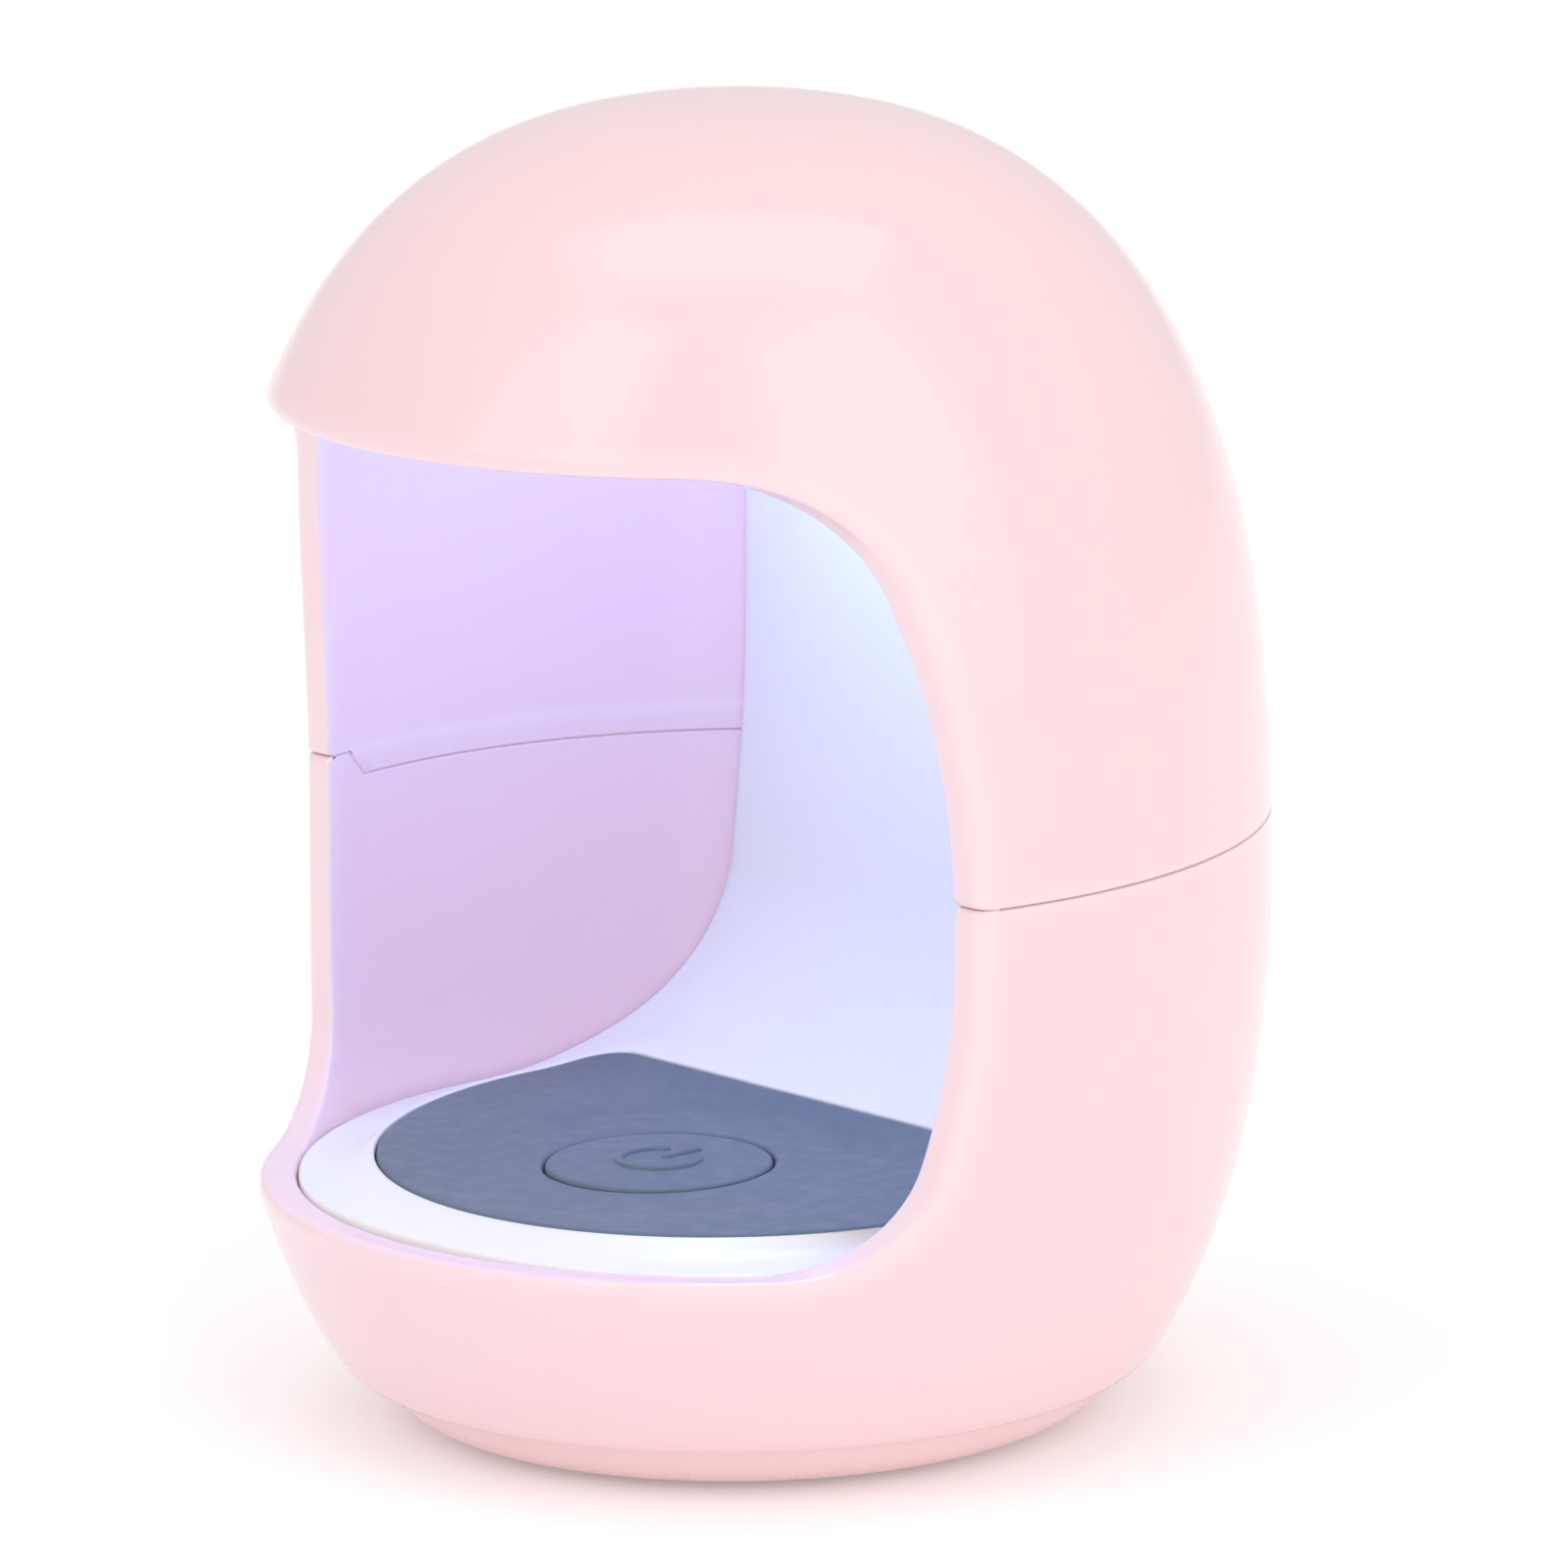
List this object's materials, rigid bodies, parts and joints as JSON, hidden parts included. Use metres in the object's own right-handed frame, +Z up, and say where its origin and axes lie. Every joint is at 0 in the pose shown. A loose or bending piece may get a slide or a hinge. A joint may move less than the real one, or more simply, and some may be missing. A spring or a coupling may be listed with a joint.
{
  "type": "uv led nail lamp",
  "caption": "Egg-shaped desk lamp that cures nail varnish on one fingertip: open front, white tray, soft pad with a press button, UV light in the dome.",
  "frame": {"origin": "centre of the anti-slip pad's underside, on the surface that the lamp stands on", "axes": "+Z up along the egg's axis, -Y out of the finger opening, +X to the right seen from the front"},
  "size_m": [0.056, 0.0539, 0.07],
  "materials": {
    "shell_pink": "glossy moulded ABS, pale pink",
    "base_pink": "glossy moulded ABS, slightly deeper pink",
    "anti_slip_foam": "light grey anti-slip foam rubber",
    "liner_white": "satin white moulded plastic",
    "pad_silicone": "matt slate blue silicone",
    "white_nylon": "natural nylon",
    "switch_black": "black moulded plastic",
    "switch_stem_black": "black moulded plastic",
    "plated_steel": "nickel plated sheet steel",
    "board_green": "green solder mask over glass fibre board",
    "chip_black": "black epoxy",
    "ferrite_grey": "dark grey ferrite",
    "capacitor_can": "aluminium can",
    "wire_red": "red insulation",
    "wire_black": "black insulation",
    "led_board_alu": "white solder mask over an aluminium core",
    "led_lens": "clear domed lens over a ceramic base, faint violet",
    "screw_steel": "zinc plated screw"
  },
  "bodies": {
    "housing": {"upper_shell": "shell_pink", "lower_shell": "shell_pink", "bottom_cover": "base_pink", "foot_pad": "anti_slip_foam", "tray_liner": "liner_white", "lamp_ceiling": "liner_white", "finger_pad": "pad_silicone", "switch_body": "switch_black", "switch_frame": "plated_steel", "switch_dome": "plated_steel", "control_board": "board_green", "driver_chip": "chip_black", "power_inductor": "ferrite_grey", "power_diode": "chip_black", "filter_capacitor": "capacitor_can", "chip_resistors": "chip_black", "socket_shell": "plated_steel", "socket_tongue": "switch_black", "wire_socket": "white_nylon", "wire_plug": "white_nylon", "led_wire_red": "wire_red", "led_wire_black": "wire_black", "led_board": "led_board_alu", "uv_led_1": "led_lens", "uv_led_2": "led_lens", "uv_led_3": "led_lens", "base_screws": "screw_steel", "board_screws": "screw_steel", "lamp_screws": "screw_steel"},
    "button": {"press_button": "pad_silicone", "button_plunger": "white_nylon"},
    "stem": {"switch_stem": "switch_stem_black"}
  },
  "joints": [
    {"name": "button_press", "type": "slide", "parent": "housing", "child": "button", "axis": [0, 0, -1], "range_m": [0, 0.0007], "stiffness_N_per_m": 900},
    {"name": "switch_press", "type": "slide", "parent": "housing", "child": "stem", "axis": [0, 0, -1], "range_m": [0, 0.0007], "deforming": ["switch_dome"]}
  ],
  "couplings": [
    {"joint": "switch_press", "follows": "button_press", "ratio": 1}
  ]
}
